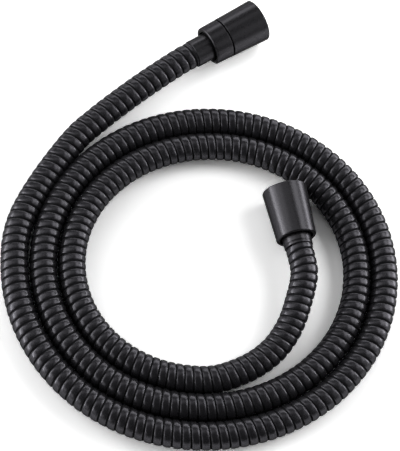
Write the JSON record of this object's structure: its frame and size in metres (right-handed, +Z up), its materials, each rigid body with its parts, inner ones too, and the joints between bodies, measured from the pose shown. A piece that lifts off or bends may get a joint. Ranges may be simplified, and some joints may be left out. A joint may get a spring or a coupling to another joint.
{
  "type": "shower hose",
  "caption": "Interlocked metal shower hose lying in a loose flat coil, with a plain conical union nut on one end and a conical nut on a swivel on the other.",
  "frame": {"origin": "middle of the bounding box's underside, on the surface that the hose lies on", "axes": "+Z up from that surface; +Y towards the swivel nut, the longest extent; +X to the right of it, across the coil"},
  "size_m": [0.2212, 0.2724, 0.0261],
  "materials": {
    "black_strip": "satin black on wound stainless steel strip",
    "black_nut": "matt to satin black on turned brass",
    "black_ferrule": "satin black on turned brass",
    "bare_brass": "turned",
    "tube_rubber": "extruded, matt",
    "seal_rubber": "moulded, matt",
    "spring_steel": "punched strip",
    "white_acetal": "moulded"
  },
  "bodies": {
    "hose": {"outer_hose": "black_strip", "inner_tube": "tube_rubber", "plain_tail": "bare_brass", "plain_ferrule": "black_ferrule", "swivel_tail": "bare_brass", "swivel_ferrule": "black_ferrule", "front_o_ring": "seal_rubber", "rear_o_ring": "seal_rubber", "retaining_clip": "spring_steel", "thrust_washer": "white_acetal"},
    "plain_nut": {"plain_nut": "black_nut", "plain_washer": "seal_rubber"},
    "swivel_spindle": {"swivel_spindle": "bare_brass", "swivel_collar": "black_nut"},
    "swivel_nut": {"swivel_nut": "black_nut", "swivel_washer": "seal_rubber"}
  },
  "joints": [
    {"name": "plain_nut_spin", "type": "hinge", "parent": "hose", "child": "plain_nut", "pos_m": [0.03047, 0.02835, 0.01324], "axis": [-0.4936, 0.8689, -0.0384], "continuous": true},
    {"name": "swivel_spin", "type": "hinge", "parent": "hose", "child": "swivel_spindle", "pos_m": [-0.01543, 0.1284, 0.01284], "axis": [0.6397, 0.7678, 0.0353], "continuous": true},
    {"name": "swivel_nut_spin", "type": "hinge", "parent": "swivel_spindle", "child": "swivel_nut", "pos_m": [-0.01543, 0.1284, 0.01284], "axis": [0.6397, 0.7678, 0.0353], "continuous": true}
  ]
}
